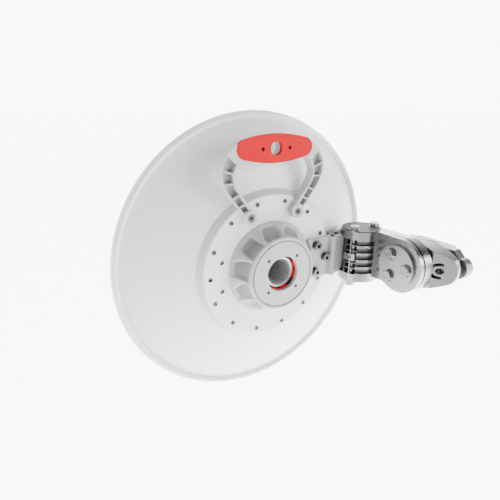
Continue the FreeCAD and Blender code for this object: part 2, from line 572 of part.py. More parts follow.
def make_front_jaw():
    """The leaf-shaped jaw with its pivot spigot, a vee for the pole and two bolt holes."""
    body = new_body("front_jaw", ("0", "el_y"))
    extrude(body, "YZ", "jaw_x", "jaw_back_x", lambda sketch: outline(sketch, [
        ("jaw_half_y - 5", "-17", "31.4", 1), ("jaw_half_y - 5", "17", "106", 1),
        ("5 - jaw_half_y", "17", "31.4", 1), ("5 - jaw_half_y", "-17", "106", 1)]))
    extrude(body, "YZ", "disc_x + disc_t", "jaw_x", circles([("0", "0")], "spigot_r"))
    extrude(body, "XY", "-jaw_half_z - 3", "jaw_half_z + 3", lambda sketch: outline(sketch, [
        ("jaw_back_x + 1", "-vee_half"), ("jaw_back_x + 1", "vee_half"), ("vee_x", "0")]), cut=True)
    for side in (1, -1):
        extrude(body, "XY", "-jaw_half_z - 3", "jaw_half_z + 3", lambda sketch: outline(sketch, [
            (across, "%d * (%s)" % (side, up)) for across, up in (
                ("jaw_x - 1", "jaw_flat_y - 1"), ("jaw_edge_x", "jaw_half_y + 1"),
                ("jaw_x - 1", "jaw_half_y + 1"))]), cut=True)
    extrude(body, "YZ", "jaw_x - 1", "jaw_x + 10", ring("7.4", "11.5", both_sides("jaw_bolt_y", "0")), cut=True)
    extrude(body, "YZ", "jaw_x - 1", "jaw_back_x + 1", circles(both_sides("jaw_bolt_y", "0"), "jaw_hole_r"),
            cut=True)
    extrude(body, "YZ", "jaw_x - 1", "jaw_x + 14", circles(elevation_bolt_places(), "el_bolt_r"), cut=True)


def make_elevation_hardware():
    place = ("0", "el_y")
    body = new_body("elevation_disc", place)
    extrude(body, "YZ", "disc_x", "disc_x + disc_t", circles([("0", "0")], "disc_r"))
    extrude(body, "YZ", "disc_x - 1", "disc_x + 1.5", circles(elevation_bolt_places(), "9.6"), cut=True)
    extrude(body, "YZ", "disc_x - 1", "disc_x + disc_t + 1", circles(elevation_bolt_places(), "el_bolt_r + 0.4"),
            cut=True)
    body = new_body("elevation_washers", place)
    extrude(body, "YZ", "disc_x + 0.1", "disc_x + 1.5", ring("4.2", "8", elevation_bolt_places()))
    hex_bolts("elevation_bolts", elevation_bolt_places(), "YZ", "disc_x - 5.2", "disc_x + 0.1", "jaw_x + 13",
              "el_bolt_r", place)
    body = new_body("friction_washer", place)
    extrude(body, "YZ", "arm_back_x + 0.1", "jaw_x", ring("spigot_r + 1", "disc_r"))
    extrude(body, "YZ", "arm_back_x", "jaw_x + 1", circles(elevation_bolt_places(), "el_bolt_r + 0.4"), cut=True)


def stepped_side(side, steps=4):
    """One side of the toothed vee, from its mouth to its floor, as square steps."""
    points = [("rear_x - 1", "%d * rear_vee_half" % side)]
    for step in range(1, steps + 1):
        depth = "rear_x + %d * (rear_vee_x - rear_x) / %d" % (step, steps)
        for reach in (steps - step + 1, steps - step):
            points.append((depth, "%d * rear_vee_half / %d" % (side * reach, steps)))
    return points[:-1]


def make_rear_jaw():
    """The loose jaw: a vee with steps, thinner ends with bosses, and the two clamp bolts."""
    place = ("0", "el_y")
    body = new_body("rear_jaw", place)
    waist = "rear_half_y - 14"
    right = [("rear_half_y - 9.6", "-rear_tip_z", "15", 1), ("rear_half_y - 9.6", "rear_tip_z"),
             (waist, "rear_tip_z"), ("40", "rear_half_z")]
    lower = [("40", "-rear_half_z"), (waist, "-rear_tip_z")]
    left = [("-40", "rear_half_z"), ("-(%s)" % waist, "rear_tip_z"),
            ("9.6 - rear_half_y", "rear_tip_z", "15", 1), ("9.6 - rear_half_y", "-rear_tip_z")]
    floor = [("-(%s)" % across, up) for across, up in reversed(lower)]
    extrude(body, "YZ", "rear_x", "rear_back_x", lambda sketch: outline(sketch, right + left + floor + lower))
    extrude(body, "XY", "-rear_half_z - 1", "rear_half_z + 1",
            lambda sketch: outline(sketch, stepped_side(-1) + stepped_side(1)[::-1]), cut=True)
    for side in (1, -1):
        extrude(body, "XY", "-rear_half_z - 1", "rear_half_z + 1", lambda sketch: outline(sketch, [
            (across, "%d * (%s)" % (side, up)) for across, up in (
                ("rear_back_x - 8", "rear_half_y + 1"), ("rear_back_x - 8", "34"),
                ("rear_back_x + 1", "28"), ("rear_back_x + 1", "rear_half_y + 1"))]), cut=True)
    bolts = both_sides("jaw_bolt_y", "0")
    extrude(body, "YZ", "rear_x - 1", "rear_back_x + 1", circles(bolts, "jaw_hole_r"), cut=True)
    body = new_body("clamp_washers", place)
    extrude(body, "YZ", "rear_back_x - 8", "rear_back_x - 6.4", ring("4.2", "8", bolts))
    hex_bolts("clamp_bolts", bolts, "YZ", "rear_back_x - 1.1", "rear_back_x - 6.4", "jaw_x + 15", "jaw_bolt_r",
              place)


def main():
    for make in (make_reflector, make_back_plate, make_screws, make_hub, make_port_plate, make_carrier,
                 make_locks, make_feed, make_handle, make_dish_bracket, make_drum, make_arm, make_barrel_tab,
                 make_azimuth_hardware, make_front_jaw, make_elevation_hardware, make_rear_jaw):
        make()
    doc.recompute()
    for item in doc.Objects:
        if "Invalid" in item.State or "Error" in item.State:
            raise RuntimeError("%s (%s) is %s" % (item.Name, item.Label, item.State))
    os.makedirs("parts", exist_ok=True)
    for body in NODES:
        if body.Shape.isNull() or not body.Shape.isValid():
            raise RuntimeError("%s has no valid shape" % body.Label)
        body.Shape.exportStep("parts/%s.step" % body.Label)
        box_size = body.Shape.BoundBox
        print("%-18s %8.0f mm3  %d solids  x %.1f..%.1f y %.1f..%.1f z %.1f..%.1f" % (
            body.Label, body.Shape.Volume, len(body.Shape.Solids), box_size.XMin, box_size.XMax,
            box_size.YMin, box_size.YMax, box_size.ZMin, box_size.ZMax))


main()
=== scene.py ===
# %% [markdown]
# A dish antenna seen from behind. The engineering model already fixes every size, so this lesson only adds
# looks: smoother shells, rounded edges, small hardware and good surfaces. The frame is loaded first.

# %% Load the frame
import json
import math

import bmesh
import bpy
from mathutils import Matrix, Vector

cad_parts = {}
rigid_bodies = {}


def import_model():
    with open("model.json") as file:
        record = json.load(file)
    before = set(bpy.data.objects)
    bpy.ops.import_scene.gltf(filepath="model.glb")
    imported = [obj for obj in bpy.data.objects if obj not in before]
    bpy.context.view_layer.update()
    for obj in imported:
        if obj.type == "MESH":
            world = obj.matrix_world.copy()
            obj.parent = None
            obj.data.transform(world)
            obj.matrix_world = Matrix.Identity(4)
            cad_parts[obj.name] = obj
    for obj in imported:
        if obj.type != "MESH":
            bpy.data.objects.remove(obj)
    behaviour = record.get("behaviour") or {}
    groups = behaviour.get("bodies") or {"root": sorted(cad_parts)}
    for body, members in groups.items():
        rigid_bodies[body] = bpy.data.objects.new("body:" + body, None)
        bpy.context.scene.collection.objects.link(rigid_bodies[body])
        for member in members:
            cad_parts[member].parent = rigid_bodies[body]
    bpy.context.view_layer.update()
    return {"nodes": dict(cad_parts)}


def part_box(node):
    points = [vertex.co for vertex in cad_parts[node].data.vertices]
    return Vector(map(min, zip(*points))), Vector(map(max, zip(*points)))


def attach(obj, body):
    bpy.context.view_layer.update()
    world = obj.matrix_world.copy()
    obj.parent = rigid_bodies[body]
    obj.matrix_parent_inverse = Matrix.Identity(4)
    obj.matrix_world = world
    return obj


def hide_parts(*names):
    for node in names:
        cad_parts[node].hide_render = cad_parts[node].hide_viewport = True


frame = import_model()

MM = 0.001

# %% [markdown]
# Surfaces are made of shader nodes. Writing each Math node by hand is slow to read, so a small class wraps a
# socket and lets plain Python sums add the nodes. Any other node comes from one method, node(), which sets
# the node's own choices first and then its sockets.


# %% A small language for shader sums
class Value:
    """A shader value that can be added to and multiplied as if it were a number."""

    def __init__(self, tree, socket):
        self.tree = tree
        self.socket = socket

    def math(self, operation, other):
        math_node = self.tree.nodes.new("ShaderNodeMath")
        math_node.operation = operation
        for socket, item in zip(math_node.inputs, (self, other)):
            plug(self.tree, socket, item)
        return Value(self.tree, math_node.outputs[0])

    def __add__(self, other):
        return self.math("ADD", other)

    def __mul__(self, other):
        return self.math("MULTIPLY", other)


def plug(tree, socket, item):
    """Links a Value to a socket, or sets the socket to a plain number or colour."""
    if isinstance(item, Value):
        tree.links.new(item.socket, socket)
    else:
        socket.default_value = item


print("shader sums ready")

# %% [markdown]
# A finish is one material. It starts with a Principled shader whose fixed values sit on its sockets, and it
# hands out noises and mixes for the values that vary over a surface. All noises read Object coordinates, so
# the pattern stays on the part when it moves.


# %% One finish
class Finish:
    """One material: its tree, its Principled shader and short ways to feed them."""

    def __init__(self, name, colour, rough, metal=0.0, **constants):
        self.material = bpy.data.materials.new(name)
        self.material.use_nodes = True
        self.tree = self.material.node_tree
        self.shader = self.tree.nodes["Principled BSDF"]
        self.shader.inputs["Base Color"].default_value = (*colour, 1)
        self.shader.inputs["Roughness"].default_value = rough
        self.shader.inputs["Metallic"].default_value = metal
        for words, number in constants.items():
            socket = words.replace("_", " ").title().replace("Ior", "IOR")
            self.shader.inputs[socket].default_value = number
        self.place = self.node("ShaderNodeTexCoord", out="Object")

    def node(self, kind, settings=None, inputs=None, out=0):
        made = self.tree.nodes.new(kind)
        for key, item in (settings or {}).items():
            setattr(made, key, item)
        for key, item in (inputs or {}).items():
            plug(self.tree, made.inputs[key], item)
        return Value(self.tree, made.outputs[out])

    def noise(self, per_metre, detail=3.0, stretch=None):
        place = self.place
        if stretch:
            place = self.node("ShaderNodeMapping", None, {"Vector": place, "Scale": stretch})
        return self.node("ShaderNodeTexNoise", None, {"Vector": place, "Scale": per_metre, "Detail": detail})

    def blend(self, factor, first, second):
        """A mix of two colours: sockets 6, 7 and 2 are the colour ones of a Mix node."""
        return self.node("ShaderNodeMix", {"data_type": "RGBA"}, {0: factor, 6: first, 7: second}, out=2)

    def feed(self, words, item):
        plug(self.tree, self.shader.inputs[words], item)

    def bump(self, height, depth_mm, strength=1.0):
        normal = self.node("ShaderNodeBump", None, {"Height": height, "Distance": depth_mm * MM,
                                                    "Strength": strength})
        self.feed("Normal", normal)


def shade(colour, factor):
    return tuple(min(1.0, part * factor) for part in colour[:3]) + (1,)


print("finish helper ready")

# %% [markdown]
# The bowl and the raised plate are sprayed with a white powder coat. Real powder coat isn't a flat white: it
# has a faint orange-peel ripple about a millimetre across, and the gloss drifts a little from place to
# place. A broad noise drives the colour and the gloss, and a fine one drives the bump.


# %% Painted finishes
def powder_coat(name, colour, rough, peel_mm=0.03, drift=0.04, coat=0.12, shine=0.5):
    finish = Finish(name, colour, rough, coat_weight=coat, coat_roughness=0.25, specular_ior_level=shine)
    broad = finish.noise(9, 2)
    fine = finish.noise(850, 2)
    finish.feed("Base Color", finish.blend(broad, shade(colour, 1 - drift), shade(colour, 1 + drift)))
    finish.feed("Roughness", broad * 0.12 + (rough - 0.06))
    finish.bump(fine, peel_mm, 0.35)
    return finish.material


WHITE = powder_coat("white_powder_coat", (0.84, 0.86, 0.89), 0.40, shine=0.3)
# The bevel's greyer colour is painted shade, not a thinner coat.
PAINTED_BEVEL_SHADE = powder_coat("painted_bevel_shade", (0.56, 0.575, 0.60), 0.45, shine=0.3)
PALE_GREY = powder_coat("pale_grey_cast_paint", (0.36, 0.364, 0.372), 0.36, 0.06)
# Dark grey paint on the barrel's cover and the grip's screws, and painted shade on the walls of the plate's spare
# holes.
DARK = powder_coat("dark_grey_paint_and_painted_hole_shade", (0.060, 0.062, 0.066), 0.50, 0.05, 0.15, 0, 0.25)
print("painted finishes:", WHITE.name, PAINTED_BEVEL_SHADE.name, PALE_GREY.name, DARK.name)

# %% [markdown]
# The hub, the bow of the handle, the grip and the catches are moulded. Moulded plastic carries the spark
# texture of its steel mould: an even, very fine grain that kills the gloss. Two noises of different sizes
# added together look like it, and the grip gets a deeper grain than the hub.


# %% Moulded finishes
def moulded(name, colour, rough, grain_mm=0.02, per_metre=2200, shine=0.4):
    finish = Finish(name, colour, rough, specular_ior_level=shine)
    grain = finish.noise(per_metre, 4) * 0.7 + finish.noise(per_metre * 0.3, 2) * 0.3
    cloud = finish.noise(25, 3)
    finish.feed("Base Color", finish.blend(cloud, shade(colour, 0.95), shade(colour, 1.05)))
    finish.feed("Roughness", grain * 0.16 + (rough - 0.08))
    finish.bump(grain, grain_mm, 0.6)
    return finish.material


HUB_GREY = moulded("hub_moulding", (0.44, 0.442, 0.44), 0.46)
BOW_GREY = moulded("bow_moulding", (0.46, 0.463, 0.466), 0.46)
# The pockets' floors get painted shade: a darker, duller grey of the hub's own moulding.
PAINTED_POCKET_SHADE = moulded("painted_pocket_shade", (0.25, 0.252, 0.25), 0.6)
RED = moulded("red_moulding", (0.52, 0.005, 0.010), 0.46, 0.03, 1600, 0.05)
# The catches' red is lighter than the grip's: painted light against the shade inside the port.
CATCH_RED_WITH_PAINTED_LIGHT = moulded("red_catch_with_painted_light", (0.70, 0.010, 0.014), 0.46, 0.03, 1600)
CAP_WHITE = moulded("white_moulding", (0.78, 0.78, 0.77), 0.42)
CARRIER_GREY = moulded("carrier_moulding", (0.16, 0.165, 0.17), 0.5)
RUBBER = moulded("seal_rubber", (0.02, 0.02, 0.02), 0.7, 0.03)
print("moulded finishes ready")

# %% [markdown]
# The barrel, arm and jaws are bare castings that were tumbled to a satin gleam, and the bolts are plated
# steel. A metal's look is its reflections, so the noise goes mostly into the roughness: smears of more and
# less polish, plus a soft hammered bump on the castings. The base colours are kept low, because the studio is
# bright and a brighter metal would burn out. Turned parts get noise stretched along one direction, which
# reads as tool marks.


# %% Metal finishes
def bare_metal(name, colour, rough, bump_mm, per_metre, stretch=None, spread=0.18, metal=1.0):
    finish = Finish(name, colour, rough, metal)
    smear = finish.noise(38, 4)
    texture = finish.noise(per_metre, 3, stretch)
    finish.feed("Base Color", finish.blend(smear, shade(colour, 0.86), shade(colour, 1.08)))
    finish.feed("Roughness", smear * spread + texture * 0.08 + (rough - spread / 2 - 0.04))
    finish.bump(texture, bump_mm, 0.5)
    return finish.material


CAST = bare_metal("tumbled_casting", (0.29, 0.294, 0.302), 0.26, 0.05, 420)
DISC = bare_metal("satin_disc", (0.30, 0.30, 0.307), 0.42, 0.03, 900)
JAW_DARK = bare_metal("dark_casting", (0.21, 0.213, 0.22), 0.34, 0.06, 420)
PLATED = bare_metal("plated_steel", (0.30, 0.30, 0.307), 0.26, 0.01, 1500, (1, 0.15, 1))
GUIDE = bare_metal("turned_aluminium", (0.55, 0.55, 0.56), 0.30, 0.01, 1400, (0.1, 1, 0.1), metal=0.45)
DRUM = bare_metal("dark_drum", (0.10, 0.102, 0.108), 0.42, 0.05, 500)
# Painted shade for the barrel's grooves: a darker, duller copy of the casting.
GROOVE = bare_metal("painted_groove_shade", (0.11, 0.112, 0.116), 0.5, 0.06, 420)
SCREW = bare_metal("dark_plated_screw", (0.15, 0.15, 0.156), 0.30, 0.01, 1500)
print("metal finishes ready")

# %% [markdown]
# Three helpers make pieces. keep() turns a bmesh into an object with one finish. lathe() spins a closed
# profile, which suits every round shell here. rounded() swaps the corners of a profile for short arcs,
# because nothing that is pressed, cast or moulded has a knife edge.


# %% Piece helpers
def place_piece(piece, body):
    bpy.context.scene.collection.objects.link(piece)
    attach(piece, body)
    return piece


def keep(name, mesh_data, materials, smooth_angle=35):
    mesh = bpy.data.meshes.new(name)
    bmesh.ops.recalc_face_normals(mesh_data, faces=mesh_data.faces)
    mesh_data.to_mesh(mesh)
    mesh_data.free()
    for material in materials:
        mesh.materials.append(material)
    mesh.polygons.foreach_set("use_smooth", [True] * len(mesh.polygons))
    mesh.set_sharp_from_angle(angle=math.radians(smooth_angle))
    return bpy.data.objects.new(name, mesh)


def rounded(points, radius, steps=4):
    """A closed profile with each corner cut back by a radius and filled with an arc."""
    result = []
    for index, corner in enumerate(points):
        corner = Vector(corner)
        before = Vector(points[index - 1]) - corner
        after = Vector(points[(index + 1) % len(points)]) - corner
        turn = before.angle(after)
        reach = min(radius / math.tan(turn / 2), before.length * 0.45, after.length * 0.45)
        if turn > math.radians(168):
            result.append(corner)
            continue
        start = corner + before.normalized() * reach
        end = corner + after.normalized() * reach
        for step in range(steps + 1):
            share = step / steps
            result.append((1 - share) ** 2 * start + 2 * share * (1 - share) * corner + share ** 2 * end)
    return result


def lathe(name, profile, materials, segments=128, centre=(0, 0, 0), axis="Y", smooth_angle=35):
    """Spins a closed (radius, along) profile in mm about the Y, X or Z axis through a centre."""
    spun = bmesh.new()
    rings = []
    for turn in range(segments):
        angle = 2 * math.pi * turn / segments
        ring = []
        for radius, along in profile:
            across, up = radius * math.cos(angle), radius * math.sin(angle)
            spot = {"Y": (across, along, up), "X": (along, across, up), "Z": (across, up, along)}[axis]
            ring.append(spun.verts.new((Vector(spot) + Vector(centre)) * MM))
        rings.append(ring)
    count = len(profile)
    for turn in range(segments):
        here, there = rings[turn], rings[(turn + 1) % segments]
        for index in range(count):
            following = (index + 1) % count
            spun.faces.new((here[index], here[following], there[following], there[index]))
    bmesh.ops.remove_doubles(spun, verts=spun.verts, dist=1e-7)
    bmesh.ops.dissolve_degenerate(spun, edges=spun.edges, dist=1e-7)
    return keep(name, spun, materials, smooth_angle)


def node_box(node):
    """A CAD node's low and high corners in mm."""
    low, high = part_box(node)
    return Vector(low) / MM, Vector(high) / MM


print("piece helpers ready")

# %% [markdown]
# The bowl is spun from sheet, so its shape is a rule: the back is a parabola round the axis. Its depth comes
# from the frame: the flat centre and the lip fix the curve. The edge is rolled over into a round hem, with a
# small step where the hem meets the bowl, which is what catches the light round the rim.

# %% The spun bowl
bowl_low, bowl_high = node_box("reflector")
rim_y = bowl_high.y
rim_radius = max((vertex.co / MM).xz.length for vertex in frame["nodes"]["reflector"].data.vertices)
flat_radius = 86.0
flat_y = bowl_low.y
sheet = 2.2
focal = 179.7
sag = flat_y - flat_radius ** 2 / (4 * focal)


def bowl_y(radius):
    return sag + radius ** 2 / (4 * focal)


def bowl_profile():
    """Back of the sheet outwards, round the rolled hem, and back inwards along the front."""
    hem_in = rim_radius - 8.6
    back = [(34, flat_y), (flat_radius - 2, flat_y)]
    steps = 40
    for step in range(steps + 1):
        radius = flat_radius + (hem_in - flat_radius) * step / steps
        back.append((radius, bowl_y(radius)))
    hem = [(hem_in + 0.5, rim_y - 9.8), (hem_in + 1.3, rim_y - 10.9), (hem_in + 3.0, rim_y - 11.3)]
    centre, hem_radius = (rim_radius - 5.3, rim_y - 6.0), 5.3
    for step in range(15):
        angle = math.radians(-88 + step * 13.2)
        hem.append((centre[0] + hem_radius * math.cos(angle),
                    min(rim_y, centre[1] + (hem_radius + 0.7) * math.sin(angle))))
    front = []
    for step in range(steps + 1):
        radius = rim_radius - 6.2 - (rim_radius - 6.2 - flat_radius) * step / steps
        front.append((radius, bowl_y(radius) + sheet))
    front += [(flat_radius - 2, flat_y + sheet), (34, flat_y + sheet)]
    return back + hem + front


bowl = lathe("bowl", bowl_profile(), [WHITE], 256, smooth_angle=50)
place_piece(bowl, "antenna")
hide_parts("reflector")
print("bowl:", len(bowl.data.polygons), "faces, rim radius", round(rim_radius, 1), "mm")

# %% [markdown]
# The raised plate behind the bowl is pressed too: flat, then a soft bevel down to the bowl. A lathe with a
# generous corner radius makes it. The profile stops just short of the bowl, so that the two never share a face.

# %% The back plate's shape
plate_y = node_box("back_plate")[0].y
plate_edge = 107.0
plate_flat = 100.0


def soft_plate_profile():
    outline = [(42, plate_y), (plate_flat - 1, plate_y), (plate_edge - 0.6, bowl_y(plate_edge) - 0.9),
               (plate_edge, bowl_y(plate_edge) - 0.05), (plate_edge - 3, bowl_y(plate_edge) - 0.3),
               (plate_flat - 2, flat_y - 0.05), (42, flat_y - 0.05)]
    return rounded(outline, 3.2, 6)


plate = lathe("pressed_plate", soft_plate_profile(), [WHITE], 192, smooth_angle=50)
print("plate's edge radius", plate_edge, "mm")

# %% [markdown]
# Where each screw and bolt sits is read from the frame: the solids in a node are split apart by walking along
# their edges, and each solid's box gives the middle of its screw and the two ends.


# %% Places of the screws and bolts
def island_boxes(node):
    """Low and high corners in mm of each separate solid in a node."""
    solids = bmesh.new()
    solids.from_mesh(frame["nodes"][node].data)
    bmesh.ops.remove_doubles(solids, verts=solids.verts, dist=2e-6)
    left = set(solids.verts)
    boxes = []
    while left:
        island, front = [], [left.pop()]
        while front:
            vertex = front.pop()
            island.append(vertex.co / MM)
            reached = {edge.other_vert(vertex) for edge in vertex.link_edges} & left
            left -= reached
            front += reached
        boxes.append([Vector([pick(spot[side] for spot in island) for side in range(3)]) for pick in (min, max)])
    solids.free()
    return sorted(boxes, key=lambda pair: tuple(pair[0]))


def island_middles(node):
    """The (x, z) middles in mm of round fasteners that face along Y."""
    return sorted(((low.x + high.x) / 2, (low.z + high.z) / 2) for low, high in island_boxes(node))


ring_places = island_middles("ring_screws")
spare_places = [(-across, up) for across, up in island_middles("bracket_bolts")]
print(len(ring_places), "ring screws and", len(spare_places), "spare holes")

# %% [markdown]
# The plate has a seat under each screw of the ring, and three holes that mirror the bracket's bolts, so that
# the bracket could go on the other side. Cutting a hole in a mesh by hand is slow, so one boolean takes a set
# of pins away from the plate. The cut leaves sharp normals behind, which are put right after it.


# %% Holes in the back plate
def drilled(piece, places, radius, depth_from, depth_to, sides=24):
    """Cuts round holes along Y through a piece, with one boolean for all of them."""
    pins = bmesh.new()
    for across, up in places:
        middle = Vector((across, (depth_from + depth_to) / 2, up)) * MM
        turn = Matrix.Translation(middle) @ Matrix.Rotation(math.pi / 2, 4, "X")
        bmesh.ops.create_cone(pins, cap_ends=True, segments=sides, radius1=radius * MM, radius2=radius * MM,
                              depth=(depth_to - depth_from) * MM, matrix=turn)
    cutter = keep("drill", pins, piece.data.materials)
    bpy.context.scene.collection.objects.link(cutter)
    bpy.context.scene.collection.objects.link(piece)
    cut = piece.modifiers.new("holes", "BOOLEAN")
    cut.object = cutter
    cut.solver = "EXACT"
    result = bpy.data.meshes.new_from_object(piece.evaluated_get(bpy.context.evaluated_depsgraph_get()))
    piece.modifiers.clear()
    result.polygons.foreach_set("use_smooth", [True] * len(result.polygons))
    result.set_sharp_from_angle(angle=math.radians(40))
    piece.data = result
    bpy.context.scene.collection.objects.unlink(piece)
    bpy.data.objects.remove(cutter)


SEAT_RADIUS = 3.5
SEAT_DEPTH = 0.7
SPARE_RADIUS = 3.2
drilled(plate, ring_places, SEAT_RADIUS, plate_y - 2, plate_y + SEAT_DEPTH)
drilled(plate, spare_places, SPARE_RADIUS, plate_y - 2, flat_y + 1)
print("plate:", len(plate.data.polygons), "faces")

# %% [markdown]
# The lights alone leave the bevel as bright as the flat, so its faces get a greyer colour: painted shade that
# shows the bend. The walls of the spare holes get a dark one, painted shade so that they read as holes.

# %% Painted shade on the back plate
HOLE_WALL = 3.5
FLAT_ON = -0.93
plate.data.materials.clear()
for material in (WHITE, PAINTED_BEVEL_SHADE, DARK):
    plate.data.materials.append(material)
for face in plate.data.polygons:
    middle = face.center / MM
    face.material_index = 0
    # The bevel's faces get painted shade in grey.
    if middle.xz.length > plate_flat and face.normal.y > FLAT_ON:
        face.material_index = 1
    # The walls of the spare holes get painted shade in dark grey.
    elif any(math.hypot(middle.x - across, middle.z - up) < HOLE_WALL for across, up in spare_places):
        face.material_index = 2
place_piece(plate, "antenna")
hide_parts("back_plate")
print("plate coated")

# %% [markdown]
# The hub is a bell with ten ribs. Its surface follows a rule as well: at each height there is a floor radius
# and a rib radius, and the angle decides which of the two counts. A smooth step between them gives the
# rounded shoulders of a moulding, and the step widens towards the foot, so that each rib opens into a petal.

# %% The hub's rule
RIBS = 10
FIRST_RIB = math.radians(7.6)
hub_foot = node_box("hub_housing")[1].y


def smooth_step(low, high, position):
    share = min(1.0, max(0.0, (position - low) / (high - low)))
    return share * share * (3 - 2 * share)


def rib_radius(along):
    """The bell's outer line: straight at the face and flaring into the foot."""
    share = min(1.0, max(0.0, (along - 7) / (hub_foot - 9.2)))
    return 49.8 + 14.6 * share ** 2.6


def floor_radius(along):
    share = min(1.0, max(0.0, (along - 8) / (hub_foot - 10.5)))
    return 45.4 + 15.5 * share ** 3.2


def hub_radius(along, angle):
    pitch = 2 * math.pi / RIBS
    offset = abs((angle - FIRST_RIB + pitch / 2) % pitch - pitch / 2)
    foot_share = max(0.0, (along - 6) / (hub_foot - 8))
    half_rib = (1.2 + 1.6 * foot_share + 5.5 * foot_share ** 4) / 50
    mask = 1 - smooth_step(half_rib, half_rib + 0.03, offset)
    mask = max(mask, 1 - smooth_step(3.2, 4.4, along), smooth_step(hub_foot - 3.8, hub_foot - 2.0, along))
    return floor_radius(along) + (rib_radius(along) - floor_radius(along)) * mask


print("ribs:", RIBS)

# %% [markdown]
# The bell is made in columns, one for each degree. A column runs from the mouth down the outside to the foot and
# back up the inside, so joining neighbouring columns closes the shell. The floors of the pockets are then
# picked out by their radius, and get a darker, duller grey: painted shade that makes the pockets read deeper.


# %% Building the hub
def make_hub():
    heights = [0.9, 1.6, 2.4, 3.2, 3.5, 3.8, 4.1, 4.4] + [4.4 + (hub_foot - 4.4) * step / 44
                                                          for step in range(1, 45)]
    segments = 360
    bell = bmesh.new()
    mouth = [(45.9, 2.6), (45.9, 0.5), (46.4, 0.0), (49.0, 0.0)]
    skirt = [(40.2, hub_foot), (40.2, 6.2), (44.0, 6.2), (44.0, 2.6)]
    columns = []
    for turn in range(segments):
        angle = 2 * math.pi * turn / segments
        line = mouth + [(hub_radius(along, angle), along) for along in heights] + skirt
        columns.append([bell.verts.new(Vector((radius * math.cos(angle), along, radius * math.sin(angle))) * MM)
                        for radius, along in line])
    for turn in range(segments):
        here, there = columns[turn], columns[(turn + 1) % segments]
        for index in range(len(here)):
            following = (index + 1) % len(here)
            bell.faces.new((here[index], here[following], there[following], there[index]))
    return keep("ribbed_hub", bell, [HUB_GREY, PAINTED_POCKET_SHADE], 60)


def paint_shade_on_pockets(piece):
    """Gives the second finish, a painted shade, to the faces that lie on a pocket's floor."""
    for face in piece.data.polygons:
        centre = face.center / MM
        if 4.2 < centre.y < hub_foot - 3.4 and centre.xz.length < floor_radius(centre.y) + 0.25:
            if centre.xz.length > 44.3:
                face.material_index = 1


hub = make_hub()
paint_shade_on_pockets(hub)
place_piece(hub, "antenna")
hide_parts("hub_housing")
print("hub:", len(hub.data.polygons), "faces")

# %% [markdown]
# Many parts are already the right shape in the frame, but every edge there is razor sharp. softened() copies
# such a node, welds the copy, clears the flat faces of their extra edges and puts a small bevel on what is
# left. The bevel is what makes a casting or a moulding look made: it gives each edge a bright line.


# %% Soft edges for cast and moulded nodes
def mesh_volume(mesh):
    solid = bmesh.new()
    solid.from_mesh(mesh)
    volume = solid.calc_volume()
    solid.free()
    return volume


def bevelled_copy(source, name, materials, width_mm, segments, angle, clear_flats):
    """A welded copy of a mesh with a bevel on its sharp edges, as a plain mesh."""
    copy = bmesh.new()
    copy.from_mesh(source)
    for face in copy.faces:
        face.material_index = 0
    bmesh.ops.remove_doubles(copy, verts=copy.verts, dist=2e-6)
    bmesh.ops.dissolve_degenerate(copy, edges=copy.edges, dist=2e-4)
    if clear_flats:
        bmesh.ops.dissolve_limit(copy, angle_limit=math.radians(0.6), verts=copy.verts, edges=copy.edges)
    mesh = bpy.data.meshes.new(name)
    copy.to_mesh(mesh)
    copy.free()
    mesh.materials.clear()
    for material in materials:
        mesh.materials.append(material)
    piece = bpy.data.objects.new(name, mesh)
    bevel = piece.modifiers.new("soft_edges", "BEVEL")
    bevel.width = width_mm * MM
    bevel.segments = segments
    bevel.limit_method = "ANGLE"
    bevel.angle_limit = math.radians(angle)
    bevel.use_clamp_overlap = True
    bpy.context.scene.collection.objects.link(piece)
    plain = bpy.data.meshes.new_from_object(piece.evaluated_get(bpy.context.evaluated_depsgraph_get()))
    piece.modifiers.clear()
    piece.data = plain
    return piece


def softened(node, name, materials, width_mm, body, segments=2, angle=28, attempts=(True, False)):
    source = frame["nodes"][node].data
    wanted = mesh_volume(source)
    for clear_flats in attempts:
        piece = bevelled_copy(source, name, materials, width_mm, segments, angle, clear_flats)
        change = abs(mesh_volume(piece.data) / wanted - 1)
        if change < 0.04:
            break
        if clear_flats != attempts[-1]:
            bpy.data.objects.remove(piece)
    plain = piece.data
    plain.polygons.foreach_set("use_smooth", [True] * len(plain.polygons))
    plain.set_sharp_from_angle(angle=math.radians(40))
    weighted = piece.modifiers.new("flat_faces_stay_flat", "WEIGHTED_NORMAL")
    weighted.keep_sharp = True
    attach(piece, body)
    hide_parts(node)
    print(name, len(plain.polygons), "faces, volume off by", round(change * 100, 2), "%")
    return piece


print("softening ready")

# %% [markdown]
# One row for each node: its name, the new piece's name, its finish, the width of its bevel in mm, its body and
# its slot. The grip comes first and keeps the extra edges on its flats, because its face has three holes.

# %% The softened pieces
SOFTENED = (
    ("handle_frame", "bow", BOW_GREY, 0.9, "antenna", "hub_plastic"),
    ("port_plate", "port_face", HUB_GREY, 0.5, "antenna", "hub_plastic"),
    ("dish_bracket", "bracket_casting", PALE_GREY, 0.7, "antenna", "grey_cast"),
    ("arm_casting", "finned_arm", CAST, 0.7, "arm", "cast_metal"),
    ("front_jaw", "leaf_jaw", CAST, 2.4, "pole_clamp", "cast_metal"),
    ("rear_jaw", "loose_jaw_casting", JAW_DARK, 1.0, "loose_jaw", "cast_metal"),
    ("bracket_bolts", "bracket_cap_screws", SCREW, 0.5, "antenna", "steel"),
    ("handle_bolts", "bow_screws", SCREW, 0.4, "antenna", "steel"),
    ("feed_cap", "front_cap", CAP_WHITE, 0.6, "antenna", "white_plastic"),
)
made = {}
made["grip_plate"] = softened("handle_grip", "grip_plate", [RED], 1.2, "antenna",
                              attempts=(False,))
for node, name, material, width, body, slot in SOFTENED:
    made[name] = softened(node, name, [material], width, body)

